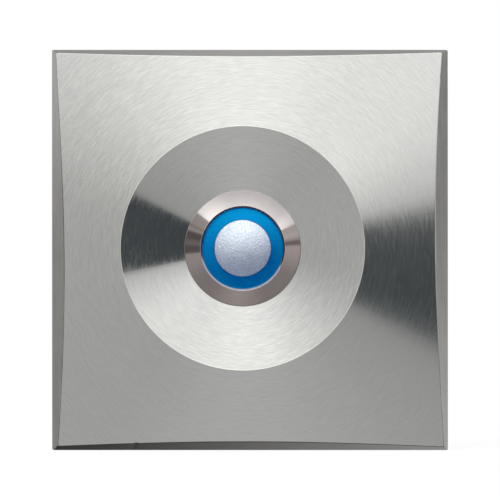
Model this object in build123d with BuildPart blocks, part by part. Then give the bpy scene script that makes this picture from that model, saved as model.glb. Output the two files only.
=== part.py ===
"""Doorbell push button: a lit push switch set in a square steel block with a turned face.

Millimetres. The wall plane is Y = 0, the front faces -Y and +Z is up. The origin is where the
turned axis, which is also the switch's axis, meets the wall plane. A "height" below is measured
from the wall plane towards the front, so height = -Y, and what lies in the wall is negative.
"""

import os
from math import cos, hypot, radians, tan

from build123d import *

# Steel block
block_width = 79.2  # left to right, at the wall
block_length = 80.0  # bottom to top, at the wall
block_shift_x = 1.45  # the block's middle lies to the right of the turned axis
block_shift_z = -0.35  # and a little below it
left_draft = 19.7  # lean of each wall, degrees
right_draft = 22.0
top_draft = 12.6
bottom_draft = 15.8
side_skew = 1.0  # the side walls' front edges, turned against the wall plane, degrees
corner_radius = 0.3
ridge_radius = 24.1
ridge_height = 10.3
face_slope = 13.0  # the cone outside the ridge, degrees
dish_slope = 15.0  # the cone inside the ridge, degrees
turning_allowance = 1.0  # stock above the ridge that the turning takes away
seat_depth = 0.9  # spot face for the bezel, below the dish's inner edge
panel_thickness = 2.0  # wall between the spot face and the nut recess
spanner_room = 3.0  # round the nut's corners

# Wall studs
stud_spacing = 60.0
stud_radius = 2.0
stud_tap_radius = 1.75
stud_depth = 5.5
stud_relief = 0.3  # countersink round each stud
stud_reach = 24.0
stud_chamfer = 0.5

# Switch housing: bezel and barrel
lens_radius = 7.9
stop_width = 0.7  # retaining rim round the foot of the lens
barrel_wall = 1.25
bezel_overhang = 1.45
bezel_edge = 0.7
bezel_slope = 25.0  # degrees
bezel_gap = 0.05  # round the bezel in its spot face
lip_chamfer = 0.25
seal_thickness = 0.4
seal_inset = 0.25
nut_wall = 2.0  # from the thread to the flats
nut_thickness = 3.0
nut_chamfer_slope = 30.0  # degrees
washer_width = 2.8
washer_thickness = 0.8
washer_teeth = 12
tooth_gap = 1.2
tooth_depth = 1.1

# Lens and cap
travel = 1.8
lens_recess = 0.9  # edge of the lens below the lip of the bezel
lens_slope = 12.0  # degrees
lens_wall = 1.4
skirt_wall = 1.2
skirt_length = 5.8
stop_thickness = 1.0
groove_drop = 2.6  # from the lens's edge to the seal groove
groove_depth = 0.6
groove_width = 1.2
cap_radius = 5.6
cap_pocket = 0.4
cap_edge = 0.6
cap_rise = 0.55
cap_fillet = 0.3
peg_radius = 1.2
peg_length = 0.9

# Spring, contacts and light
coil_radius = 2.65
wire_radius = 0.25
coil_turns = 4
spring_length = 8.0
spring_clearance = 0.3
boss_wall = 0.65
boss_length = 2.4
frame_wall = 1.3
floor_thickness = 1.2
pillar_wall = 1.2
bridge_gap = 0.6
bridge_width = 3.0
bridge_margin = 0.4
strip_thickness = 0.5
tail_radius = 0.9
tail_neck_radius = 0.65
tail_end = 0.4  # head left on the stem's tail behind the clip
clip_thickness = 0.4
clip_radius = 1.9
rivet_radius = 0.9
rivet_height = 0.5
shank_radius = 0.5
contact_room = 0.03  # left between the contacts at full press
terminal_inset = 0.9  # blade inside the frame's bore
contact_setback = 1.9  # rivet inside the blade's outer face
blade_width = 2.8
blade_reach = 7.0
blade_hole_radius = 0.6
blade_hole_inset = 2.0
pin_radius = 0.35
board_thickness = 0.8
board_gap = 0.4  # between the board and the lens skirt
led_length = 1.6
led_width = 1.2
led_height = 0.7
led_count = 4
resistor_length = 1.6
resistor_width = 0.8
resistor_height = 0.45
base_plug = 3.8
base_flange = 1.5
flange_inset = 0.3
spigot_height = 0.8
lug_width = 3.0
lug_height = 1.4

# Clearances
slide_clearance = 0.15  # between sliding walls
seal_clearance = 0.05  # seal in the bore
rest_gap = 0.05  # end stops
thread_clearance = 0.05
hole_clearance = 0.1  # barrel in the block
fit_clearance = 0.05  # pieces that are pushed together

# Radii that follow
bore_radius = lens_radius + slide_clearance
stop_radius = lens_radius + stop_width
chamber_radius = stop_radius + slide_clearance
barrel_radius = chamber_radius + barrel_wall
bezel_radius = barrel_radius + bezel_overhang
lip_radius = bore_radius + lip_chamfer
hole_radius = barrel_radius + hole_clearance
seat_radius = bezel_radius + bezel_gap
nut_flat_radius = barrel_radius + nut_wall
nut_corner_radius = nut_flat_radius / cos(radians(30))
recess_radius = nut_corner_radius + spanner_room
washer_bore = barrel_radius + hole_clearance
washer_radius = washer_bore + washer_width
skirt_bore = lens_radius - skirt_wall
groove_radius = lens_radius - groove_depth
pillar_bore = coil_radius + wire_radius + spring_clearance
pillar_radius = pillar_bore + pillar_wall
boss_radius = coil_radius - wire_radius - spring_clearance
stem_radius = boss_radius - boss_wall - fit_clearance
frame_radius = chamber_radius - hole_clearance
frame_bore = frame_radius - frame_wall
spigot_radius = frame_bore - fit_clearance
board_radius = skirt_bore - board_gap
pin_circle = (pillar_radius + board_radius) / 2
led_circle = (pillar_bore + board_radius) / 2
blade_face = frame_bore - terminal_inset
contact_offset = blade_face - contact_setback
turned_radius = hypot(block_width / 2 + abs(block_shift_x), block_length / 2 + abs(block_shift_z))

# Heights that follow, from the front to the back
face_foot = ridge_height - (turned_radius - ridge_radius) * tan(radians(face_slope))
dish_foot = ridge_height - (ridge_radius - seat_radius) * tan(radians(dish_slope))
seat = dish_foot - seat_depth
recess_floor = seat - panel_thickness
stud_hole = stud_depth + rest_gap
nut_front = recess_floor - washer_thickness
nut_back = nut_front - nut_thickness
flange_back = seat + seal_thickness
edge_top = flange_back + bezel_edge
lip_top = edge_top + (bezel_radius - lip_radius) * tan(radians(bezel_slope))
lens_edge = lip_top - lens_recess
cap_pocket_radius = cap_radius + fit_clearance
lens_crown = lens_edge + (lens_radius - cap_pocket_radius) * tan(radians(lens_slope))
pocket_floor = lens_crown - cap_pocket
cap_shoulder = lens_crown + cap_edge
cap_crown = cap_shoulder + cap_rise
peg_foot = pocket_floor - peg_length
lens_under = lens_edge - lens_wall
boss_foot = lens_under - boss_length
groove_top = lens_edge - groove_drop
groove_foot = groove_top - groove_width
lens_foot = lens_edge - skirt_length
stop_top = lens_foot + stop_thickness
shoulder = stop_top + rest_gap
frame_top = lens_foot - travel - rest_gap
board_top = lens_under - travel - spring_clearance - led_height
board_back = board_top - board_thickness
floor_top = lens_under - spring_length
floor_back = floor_top - floor_thickness
bridge_top = floor_back - bridge_gap
bridge_back = bridge_top - strip_thickness
clip_back = bridge_back - clip_thickness
tail_back = clip_back - tail_end
contact_top = bridge_back - rivet_height - travel - contact_room
foot_top = contact_top - rivet_height
base_top = foot_top - strip_thickness
base_shelf = base_top - spigot_height
barrel_back = base_shelf - base_plug
base_back = barrel_back - base_flange
blade_back = base_back - blade_reach
lug_middle = barrel_back + base_plug / 2

# Half section plane: x is the radius and y the height. The back plane looks at the wall.
section = Plane(origin=(0, 0, 0), x_dir=(1, 0, 0), z_dir=(0, 0, -1))
back = Plane(origin=(0, 0, 0), x_dir=(1, 0, 0), z_dir=(0, 1, 0))


def outline(*points):
    """A closed outline through (radius, height) points in the half section plane."""
    with BuildSketch(section) as sketch:
        with BuildLine():
            Polyline(*points, close=True)
        make_face()
    return sketch.sketch


def ring(inner, outer, low, high):
    """The section of a plain ring."""
    return outline((inner, low), (outer, low), (outer, high), (inner, high))


def block_corners(level):
    """The corners of the block at a height, anticlockwise from the lower left."""
    left = block_shift_x - block_width / 2 + level * tan(radians(left_draft))
    right = block_shift_x + block_width / 2 - level * tan(radians(right_draft))
    bottom = block_shift_z - block_length / 2 + level * tan(radians(bottom_draft))
    top = block_shift_z + block_length / 2 - level * tan(radians(top_draft))
    skew = (top - bottom) / 2 * tan(radians(side_skew)) * level / ridge_height
    return (left + skew, bottom), (right + skew, bottom), (right - skew, top), (left - skew, top)


# Steel block: drafted stock, turned to a cone, a ridge and a dish
with BuildPart() as front_plate:
    for level in (0, ridge_height + turning_allowance):
        with BuildSketch(Plane.XZ.offset(level)):
            with BuildLine():
                Polyline(*block_corners(level), close=True)
            make_face()
    loft(ruled=True)
    fillet(front_plate.edges().filter_by(Plane.XZ, reverse=True), corner_radius)
    turned_face = outline(
        (0, -ridge_height),
        (turned_radius, -ridge_height),
        (turned_radius, face_foot),
        (ridge_radius, ridge_height),
        (seat_radius, dish_foot),
        (seat_radius, seat),
        (0, seat),
    )
    revolve(turned_face, axis=Axis.Y, mode=Mode.INTERSECT)
    with Locations(back):
        CounterBoreHole(hole_radius, recess_radius, recess_floor)
        with GridLocations(stud_spacing, 0, 2, 1):
            CounterSinkHole(stud_tap_radius + thread_clearance, stud_radius + stud_relief, stud_hole, 90)

# Two shouldered studs, screwed into the back of the block
with BuildPart() as wall_studs:
    with BuildSketch(back):
        with GridLocations(stud_spacing, 0, 2, 1):
            Circle(stud_radius)
    extrude(amount=stud_reach)
    chamfer(wall_studs.faces().group_by(Axis.Y)[-1].edges(), stud_chamfer)
    with BuildSketch(back):
        with GridLocations(stud_spacing, 0, 2, 1):
            Circle(stud_tap_radius)
    extrude(amount=-stud_depth)

# Bezel and barrel, turned from one piece, with two windows for the base's lugs
with BuildPart() as switch_housing:
    housing_section = outline(
        (barrel_radius, barrel_back),
        (barrel_radius, flange_back),
        (bezel_radius, flange_back),
        (bezel_radius, edge_top),
        (lip_radius, lip_top),
        (bore_radius, lip_top - lip_chamfer),
        (bore_radius, shoulder),
        (chamber_radius, shoulder),
        (chamber_radius, barrel_back),
    )
    revolve(housing_section, axis=Axis.Y)
    with BuildSketch(section):
        with Locations((0, lug_middle)):
            Rectangle(lug_width + 2 * hole_clearance, lug_height + 2 * hole_clearance)
    extrude(amount=barrel_radius, both=True, mode=Mode.SUBTRACT)

with BuildPart() as bezel_seal:
    revolve(ring(hole_radius, bezel_radius - seal_inset, seat, flange_back), axis=Axis.Y)

# Washer with teeth round its rim
with BuildPart() as lock_washer:
    with BuildSketch(Plane.XZ.offset(nut_front)):
        Circle(washer_radius)
        Circle(washer_bore, mode=Mode.SUBTRACT)
        with PolarLocations(washer_radius, washer_teeth):
            Rectangle(2 * tooth_depth, tooth_gap, mode=Mode.SUBTRACT)
    extrude(amount=washer_thickness)

# Hexagon nut with its corners turned off on both sides
with BuildPart() as hex_nut:
    with BuildSketch(Plane.XZ.offset(nut_back)):
        RegularPolygon(nut_flat_radius, 6, major_radius=False)
        Circle(barrel_radius + thread_clearance, mode=Mode.SUBTRACT)
    extrude(amount=nut_thickness)
    corner_drop = (nut_corner_radius - nut_flat_radius) * tan(radians(nut_chamfer_slope))
    nut_section = outline(
        (0, nut_back),
        (nut_flat_radius, nut_back),
        (nut_corner_radius, nut_back + corner_drop),
        (nut_corner_radius, nut_front - corner_drop),
        (nut_flat_radius, nut_front),
        (0, nut_front),
    )
    revolve(nut_section, axis=Axis.Y, mode=Mode.INTERSECT)

# Blue lens: crown with a pocket for the cap, grooved skirt, retaining rim and stem socket
with BuildPart() as light_ring:
    peg_hole = peg_radius + fit_clearance
    stem_hole = stem_radius + fit_clearance
    lens_section = outline(
        (0, peg_foot - fit_clearance),
        (peg_hole, peg_foot - fit_clearance),
        (peg_hole, pocket_floor),
        (cap_pocket_radius, pocket_floor),
        (cap_pocket_radius, lens_crown),
        (lens_radius, lens_edge),
        (lens_radius, groove_top),
        (groove_radius, groove_top),
        (groove_radius, groove_foot),
        (lens_radius, groove_foot),
        (lens_radius, stop_top),
        (stop_radius, stop_top),
        (stop_radius, lens_foot),
        (skirt_bore, lens_foot),
        (skirt_bore, lens_under),
        (boss_radius, lens_under),
        (boss_radius, boss_foot),
        (stem_hole, boss_foot),
        (stem_hole, lens_under),
        (0, lens_under),
    )
    revolve(lens_section, axis=Axis.Y)

# Domed cap with a peg
with BuildPart() as button_cap:
    with BuildSketch(section) as cap_section:
        with BuildLine():
            Polyline(
                (0, cap_crown),
                (0, peg_foot),
                (peg_radius, peg_foot),
                (peg_radius, pocket_floor),
                (cap_radius, pocket_floor),
                (cap_radius, cap_shoulder),
            )
            TangentArc((0, cap_crown), (cap_radius, cap_shoulder), tangent=(1, 0))
        make_face()
        fillet(cap_section.vertices().group_by(Axis.X)[-1].sort_by(Axis.Y)[-1], cap_fillet)
    revolve(axis=Axis.Y)

with BuildPart() as plunger_seal:
    seal_low, seal_high = groove_foot + fit_clearance, groove_top - fit_clearance
    revolve(ring(groove_radius, bore_radius - seal_clearance, seal_low, seal_high), axis=Axis.Y)

# Stem pushed into the lens, with a necked tail for the bridge and its clip
with BuildPart() as contact_carrier:
    stem_section = outline(
        (0, tail_back),
        (tail_radius, tail_back),
        (tail_radius, clip_back),
        (tail_neck_radius, clip_back),
        (tail_neck_radius, bridge_back),
        (tail_radius, bridge_back),
        (tail_radius, bridge_top),
        (stem_radius, bridge_top),
        (stem_radius, lens_under),
        (0, lens_under),
    )
    revolve(stem_section, axis=Axis.Y)

# Strip that joins the two contacts when the button is down
with BuildPart() as contact_bridge:
    with BuildSketch(Plane.XZ.offset(bridge_back)):
        SlotOverall(2 * (contact_offset + rivet_radius + bridge_margin), bridge_width)
        Circle(tail_radius + fit_clearance, mode=Mode.SUBTRACT)
        with GridLocations(2 * contact_offset, 0, 2, 1):
            Circle(shank_radius + fit_clearance, mode=Mode.SUBTRACT)
    extrude(amount=strip_thickness)

# Open ring in the neck of the stem's tail
with BuildPart() as bridge_clip:
    with BuildSketch(Plane.XZ.offset(clip_back)):
        Circle(clip_radius)
        Circle(tail_neck_radius + fit_clearance, mode=Mode.SUBTRACT)
        with Locations((0, -clip_radius)):
            Rectangle(2 * tail_neck_radius, 2 * clip_radius, mode=Mode.SUBTRACT)
    extrude(amount=clip_thickness)


def rivets(head_low, shank_low):
    """A pair of contact rivets: heads at the contact points, shanks through the strip."""
    with BuildPart() as pair:
        for radius, low, length in (
            (rivet_radius, head_low, rivet_height),
            (shank_radius, shank_low, strip_thickness),
        ):
            with BuildSketch(Plane.XZ.offset(low)):
                with GridLocations(2 * contact_offset, 0, 2, 1):
                    Circle(radius)
            extrude(amount=length)
    return pair


bridge_contacts = rivets(bridge_back - rivet_height, bridge_back)
fixed_contacts = rivets(foot_top, base_top)

# Return spring between the frame's floor and the lens
with BuildPart() as return_spring:
    coil_foot = floor_top + wire_radius + rest_gap
    coil_height = spring_length - 2 * (wire_radius + rest_gap)
    with BuildLine() as coil:
        Helix(coil_height / coil_turns, coil_height, coil_radius, (0, -coil_foot, 0), (0, -1, 0))
    with BuildSketch(Plane(origin=coil.line @ 0, z_dir=coil.line % 0)):
        Circle(wire_radius)
    sweep(path=coil.line, is_frenet=True)

# Frame in the barrel: outer ring, floor with the stem's guide, pillar for the light board
with BuildPart() as inner_frame:
    stem_guide = stem_radius + slide_clearance
    frame_section = outline(
        (stem_guide, floor_back),
        (frame_bore, floor_back),
        (frame_bore, base_shelf),
        (frame_radius, base_shelf),
        (frame_radius, frame_top),
        (frame_bore, frame_top),
        (frame_bore, floor_top),
        (pillar_radius, floor_top),
        (pillar_radius, board_back),
        (pillar_bore, board_back),
        (pillar_bore, floor_top),
        (stem_guide, floor_top),
    )
    revolve(frame_section, axis=Axis.Y)
    with BuildSketch(Plane.XZ.offset(floor_back)):
        with GridLocations(0, 2 * pin_circle, 1, 2):
            Circle(pin_radius + fit_clearance)
    extrude(amount=floor_thickness, mode=Mode.SUBTRACT)

with BuildPart() as led_board:
    revolve(ring(pillar_bore, board_radius, board_back, board_top), axis=Axis.Y)

with BuildPart() as leds:
    with BuildSketch(Plane.XZ.offset(board_top)):
        with PolarLocations(led_circle, led_count, start_angle=180 / led_count):
            Rectangle(led_width, led_length)
    extrude(amount=led_height)

with BuildPart() as series_resistor:
    with BuildSketch(Plane.XZ.offset(board_top)):
        with Locations((led_circle, 0)):
            Rectangle(resistor_width, resistor_length)
    extrude(amount=resistor_height)

# Rear insulator with slots for the blades, holes for the pins and two snap lugs
with BuildPart() as terminal_base:
    base_section = outline(
        (0, base_back),
        (barrel_radius - flange_inset, base_back),
        (barrel_radius - flange_inset, barrel_back),
        (frame_radius, barrel_back),
        (frame_radius, base_shelf),
        (spigot_radius, base_shelf),
        (spigot_radius, base_top),
        (0, base_top),
    )
    revolve(base_section, axis=Axis.Y)
    with BuildSketch(section):
        with Locations((0, lug_middle)):
            Rectangle(lug_width, lug_height)
    extrude(amount=barrel_radius - flange_inset, both=True)
    with BuildSketch(Plane.XZ.offset(base_back)):
        with GridLocations(2 * blade_face - strip_thickness, 0, 2, 1):
            Rectangle(strip_thickness + 2 * fit_clearance, blade_width + 2 * fit_clearance)
        with GridLocations(0, 2 * pin_circle, 1, 2):
            Circle(pin_radius + fit_clearance)
    extrude(amount=base_top - base_back, mode=Mode.SUBTRACT)


def contact_terminal(side):
    """A bent strip: foot under the contact, blade out of the back. side is -1 left, +1 right."""
    with BuildPart() as terminal:
        with BuildSketch(section):
            with BuildLine():
                Polyline(
                    (side * (contact_offset - rivet_radius), foot_top),
                    (side * blade_face, foot_top),
                    (side * blade_face, blade_back),
                    (side * (blade_face - strip_thickness), blade_back),
                    (side * (blade_face - strip_thickness), base_top),
                    (side * (contact_offset - rivet_radius), base_top),
                    close=True,
                )
            make_face()
        extrude(amount=blade_width / 2, both=True)
        with Locations(Plane(origin=(side * contact_offset, -foot_top, 0), z_dir=(0, -1, 0))):
            Hole(shank_radius + fit_clearance, strip_thickness)
        with Locations(Plane.YZ.offset(side * blade_face)):
            with Locations((-blade_back - blade_hole_inset, 0)):
                Hole(blade_hole_radius)
    return terminal


def led_terminal(side):
    """A pin from the light board out of the back. side is -1 lower, +1 upper."""
    with BuildPart() as terminal:
        with BuildSketch(Plane.XZ.offset(blade_back)):
            with Locations((0, side * pin_circle)):
                Circle(pin_radius)
        extrude(amount=board_back - blade_back)
    return terminal


pieces = {
    "front_plate": front_plate,
    "wall_studs": wall_studs,
    "switch_housing": switch_housing,
    "bezel_seal": bezel_seal,
    "lock_washer": lock_washer,
    "hex_nut": hex_nut,
    "light_ring": light_ring,
    "button_cap": button_cap,
    "plunger_seal": plunger_seal,
    "contact_carrier": contact_carrier,
    "contact_bridge": contact_bridge,
    "bridge_contacts": bridge_contacts,
    "bridge_clip": bridge_clip,
    "return_spring": return_spring,
    "inner_frame": inner_frame,
    "led_board": led_board,
    "leds": leds,
    "series_resistor": series_resistor,
    "terminal_base": terminal_base,
    "contact_terminal_left": contact_terminal(-1),
    "contact_terminal_right": contact_terminal(1),
    "fixed_contacts": fixed_contacts,
    "led_terminal_lower": led_terminal(-1),
    "led_terminal_upper": led_terminal(1),
}

os.makedirs("parts", exist_ok=True)
for label, piece in pieces.items():
    piece.part.label = label
    export_step(piece.part, f"parts/{label}.step")
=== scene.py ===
"""Doorbell push button: the finish of a lit push switch set in a square block of turned steel.

Metres, in the frame of the solids: the wall plane is Y = 0, the front faces -Y and +Z is up. The turned
axis, which is also the switch's axis, is the Y axis. A section is a list of (radius, y) points.
"""

from math import atan2, cos, hypot, pi, radians, sin, tan

import bmesh
import bpy
import numpy as np
from bpy.props import FloatProperty, FloatVectorProperty, IntProperty, PointerProperty
from mathutils import Matrix, Vector


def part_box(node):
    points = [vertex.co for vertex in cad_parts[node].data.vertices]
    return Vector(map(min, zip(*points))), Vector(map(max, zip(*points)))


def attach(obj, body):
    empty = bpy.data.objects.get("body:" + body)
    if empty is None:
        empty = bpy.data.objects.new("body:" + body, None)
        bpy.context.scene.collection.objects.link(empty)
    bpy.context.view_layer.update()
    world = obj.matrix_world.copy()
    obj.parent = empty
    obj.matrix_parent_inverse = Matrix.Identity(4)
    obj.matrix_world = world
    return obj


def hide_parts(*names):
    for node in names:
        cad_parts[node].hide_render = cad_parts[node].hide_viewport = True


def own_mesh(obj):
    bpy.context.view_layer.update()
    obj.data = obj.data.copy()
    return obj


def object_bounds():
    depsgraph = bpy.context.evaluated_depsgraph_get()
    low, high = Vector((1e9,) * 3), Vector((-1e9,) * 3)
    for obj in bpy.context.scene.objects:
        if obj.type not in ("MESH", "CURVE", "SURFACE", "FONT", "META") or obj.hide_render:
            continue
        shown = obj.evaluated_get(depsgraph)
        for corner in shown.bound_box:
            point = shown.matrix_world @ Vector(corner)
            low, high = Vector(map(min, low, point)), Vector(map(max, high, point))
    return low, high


bl_info = {
    "name": "Doorbell Push Button",
    "version": (1, 0, 0),
    "blender": (4, 5, 0),
    "location": "3D View > Sidebar > Doorbell",
    "description": "Finishes a doorbell push button: turned steel block, bezel, light ring and cap",
    "category": "Object",
}

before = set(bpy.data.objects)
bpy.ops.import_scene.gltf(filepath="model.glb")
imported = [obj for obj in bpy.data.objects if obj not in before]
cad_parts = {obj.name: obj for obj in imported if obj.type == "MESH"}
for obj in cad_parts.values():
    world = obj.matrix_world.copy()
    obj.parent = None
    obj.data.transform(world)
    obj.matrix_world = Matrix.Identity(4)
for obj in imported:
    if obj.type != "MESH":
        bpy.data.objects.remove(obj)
cad_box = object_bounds()

TINY = 1e-6  # points nearer than this are one point
SMALL = 1e-5  # sizes nearer than this are one size
LARGE = 1024.0  # normals are weighed on a mesh scaled up by this, because small areas all weigh the same
SHARP = radians(40)  # faces that meet at a sharper angle than this shade apart
STRAIGHT = 1.55  # a corner with half its angle over this, in radians, counts as straight
SHARE = 0.45  # the most of a side that one rounding takes up
STUD_SEGMENTS = 48  # divisions round a stud and its hole
BARREL_THREAD, STUD_THREAD = 0.58, 0.56  # depth of the threads, in pitches
WHITE = (1.0, 1.0, 1.0, 1.0)


# Sizes read from the solids


def merged(node):
    """A CAD node's mesh with its doubles merged, as a bmesh."""
    shape = bmesh.new()
    shape.from_mesh(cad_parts[node].data)
    bmesh.ops.remove_doubles(shape, verts=shape.verts, dist=TINY)
    return shape


def points_round(node, x=0.0):
    """A CAD node's vertices as (distance from the line through x along Y, y)."""
    return np.array([(hypot(v.co.x - x, v.co.z), v.co.y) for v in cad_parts[node].data.vertices])


def section_of(node):
    """The half section of a turned CAD node on the +X side, in order, and whether it is a ring."""
    shape = merged(node)
    on_seam = {v for v in shape.verts if abs(v.co.z) < TINY and v.co.x > -TINY}
    next_to = {v: [e.other_vert(v) for e in v.link_edges if e.other_vert(v) in on_seam] for v in on_seam}
    ends = [v for v in on_seam if len(next_to[v]) == 1]
    here = min(ends or on_seam, key=lambda v: (v.co.y, v.co.x))
    walk, last = [here], None
    while True:
        onward = [v for v in next_to[here] if v is not last and v is not walk[0]]
        if not onward:
            break
        last, here = here, onward[0]
        walk.append(here)
    points = [(max(v.co.x, 0.0), v.co.y) for v in walk]
    shape.free()
    on_axis = points[0][0] < TINY
    if on_axis:
        points.append((0.0, points[-1][1]))
    return points, not on_axis


class BlockSizes:
    """The turned circles, the outline and the stud holes of the steel block, as the solid has them."""

    def __init__(self):
        radius, y = points_round("front_plate").T
        self.ridge = y.min()
        self.ridge_radius = radius[y < self.ridge + SMALL].mean()
        inner = radius < self.ridge_radius - SMALL
        radius, y = radius[inner], y[inner]
        self.hole = radius.min()
        at_hole = y[radius < self.hole + SMALL]
        self.seat, self.recess_floor = at_hole.min(), at_hole.max()
        seat_radius = radius[abs(y - self.seat) < SMALL].max()
        dish_foot = y[abs(radius - seat_radius) < SMALL].min()
        self.dish_slope = (dish_foot - self.ridge) / (self.ridge_radius - seat_radius)
        self.recess_radius = radius[abs(y - self.recess_floor) < SMALL].max()
        self.rim, self.base = self.outlines()
        fall = self.rim[:, 2] - self.ridge
        self.slope = np.mean(fall / (np.hypot(self.rim[:, 0], self.rim[:, 1]) - self.ridge_radius))

    def outlines(self):
        """The face's edge and the back's edge, as (x, z, y) points in order of their angle."""
        wall, face = 0.6, -0.9  # a wall's normal has less Y than the first, the face's is past the second
        shape = merged("front_plate")
        rim, base = [], []
        for v in shape.verts:
            slopes = [f.normal.y for f in v.link_faces]
            on_wall = any(abs(s) < wall for s in slopes)
            if on_wall and hypot(v.co.x, v.co.z) > self.ridge_radius:
                if abs(v.co.y) < TINY:
                    base.append((v.co.x, v.co.z, v.co.y))
                elif any(s < face for s in slopes):
                    rim.append((v.co.x, v.co.z, v.co.y))
        shape.free()
        return [np.array(sorted(p, key=lambda q: atan2(q[1], q[0]))) for p in (rim, base)]

    def hole_section(self, x, mouth):
        """The section of the stud hole at x, from its bottom to its mouth."""
        front = 1.5 * self.recess_floor  # between the hole's bottom and the face
        near = [(r, y) for r, y in points_round("front_plate", x) if r < mouth and y > front]
        return sorted({(round(r, 6), round(y, 6)) for r, y in near}, key=lambda q: (q[1], q[0]))


block = BlockSizes()
bezel_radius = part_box("switch_housing")[1].x
stud_low, stud_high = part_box("wall_studs")
stud_radius = (stud_high.z - stud_low.z) / 2
stud_x = stud_high.x - stud_radius
spring_low, spring_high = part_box("return_spring")
nut_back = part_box("hex_nut")[1].y


# What a user would change


def colour_property(name, description, default):
    return FloatVectorProperty(name=name, description=description, subtype="COLOR", default=default)


def length_property(name, description, default):
    return FloatProperty(name=name, description=description, unit="LENGTH", default=default)


class BlockSettings(bpy.types.PropertyGroup):
    """Steel block"""

    steel: colour_property("Steel", "Colour of the bare steel", (0.62, 0.625, 0.605))
    ridge_round: length_property("Ridge rounding", "Radius left on the ridge", 0.0002)
    edge_round: length_property("Edge rounding", "Radius left on the face's edge", 0.00035)
    groove_pitch: length_property("Groove pitch", "Spacing of the turned grooves", 0.00017)
    bezel_fit: length_property("Bezel fit", "Gap left round the bezel", 0.00002)
    columns: IntProperty(name="Columns", description="Divisions round the block", default=720, min=90)


class SwitchSettings(bpy.types.PropertyGroup):
    """Bezel, barrel and fixings"""

    nickel: colour_property("Nickel", "Colour of the plated bezel", (0.66, 0.62, 0.61))
    zinc: colour_property("Zinc", "Colour of the studs and the washer", (0.62, 0.61, 0.58))
    edge_round: length_property("Edge rounding", "Radius on the bezel's edges", 0.00007)
    bezel_crown: length_property("Bezel crown", "How far the bezel's cone bulges", 0.00002)
    lip_width: length_property("Lip width", "Width of the chamfer inside the lip", 0.00033)
    lip_fall: length_property("Lip fall", "Depth of the chamfer inside the lip", 0.00019)
    barrel_pitch: length_property("Barrel pitch", "Pitch of the barrel's thread", 0.001)
    stud_pitch: length_property("Stud pitch", "Pitch of the studs' threads", 0.0007)


class ButtonSettings(bpy.types.PropertyGroup):
    """Light ring, cap and spring"""

    lens: colour_property("Lens", "Colour of the light ring", (0.0006, 0.172, 0.348))
    glow: colour_property("Glow", "Light inside the ring", (0.0002, 0.002, 0.1))
    silver: colour_property("Silver", "Colour of the cap's lacquer", (0.455, 0.53, 0.63))
    # painted glow: a faint blue emission painted on the silver cap, which is no lamp
    cap_painted_glow: colour_property("Seep", "Light that seeps into the cap", (0.0, 0.001, 0.04))
    lens_fit: length_property("Lens fit", "Gap left round the light ring's edge", 0.00003)
    cap_round: length_property("Cap rounding", "Radius on the cap's edge", 0.0001)
    wire: length_property("Wire", "Radius of the spring's wire", 0.00025)
    turns: FloatProperty(name="Turns", description="Turns of the spring", default=4.0, min=1.0)


class StageSettings(bpy.types.PropertyGroup):
    """Light and camera"""

    distance: length_property("Distance", "Camera to the wall", 0.9)
    frame_width: length_property("Frame width", "What the picture spans at the wall", 0.09975)
    key: FloatProperty(name="Key", description="Power of the lamp above", unit="POWER", default=8.2)
    key_tilt: FloatProperty(
        name="Key tilt", description="Lamp's angle off the view", subtype="ANGLE", default=radians(60)
    )
    fill: FloatProperty(name="Fill", description="Power of the lamp behind", unit="POWER", default=5.0)
    fill_tilt: FloatProperty(
        name="Fill tilt", description="Lamp's angle off the view", subtype="ANGLE", default=radians(140)
    )


# Shader maths


class Wire:
    """A node's output that takes part in sums as a number does."""

    def __init__(self, board, socket):
        self.board = board
        self.socket = socket

    def __add__(self, other):
        return self.board.math("ADD", self, other)

    def __sub__(self, other):
        return self.board.math("SUBTRACT", self, other)

    def __rsub__(self, other):
        return self.board.math("SUBTRACT", other, self)

    def __mul__(self, other):
        return self.board.math("MULTIPLY", self, other)

    def __truediv__(self, other):
        return self.board.math("DIVIDE", self, other)

    def __rtruediv__(self, other):
        return self.board.math("DIVIDE", other, self)

    def __pow__(self, other):
        return self.board.math("POWER", self, other)

    def __rpow__(self, other):
        return self.board.math("POWER", other, self)

    __radd__ = __add__
    __rmul__ = __mul__


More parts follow.
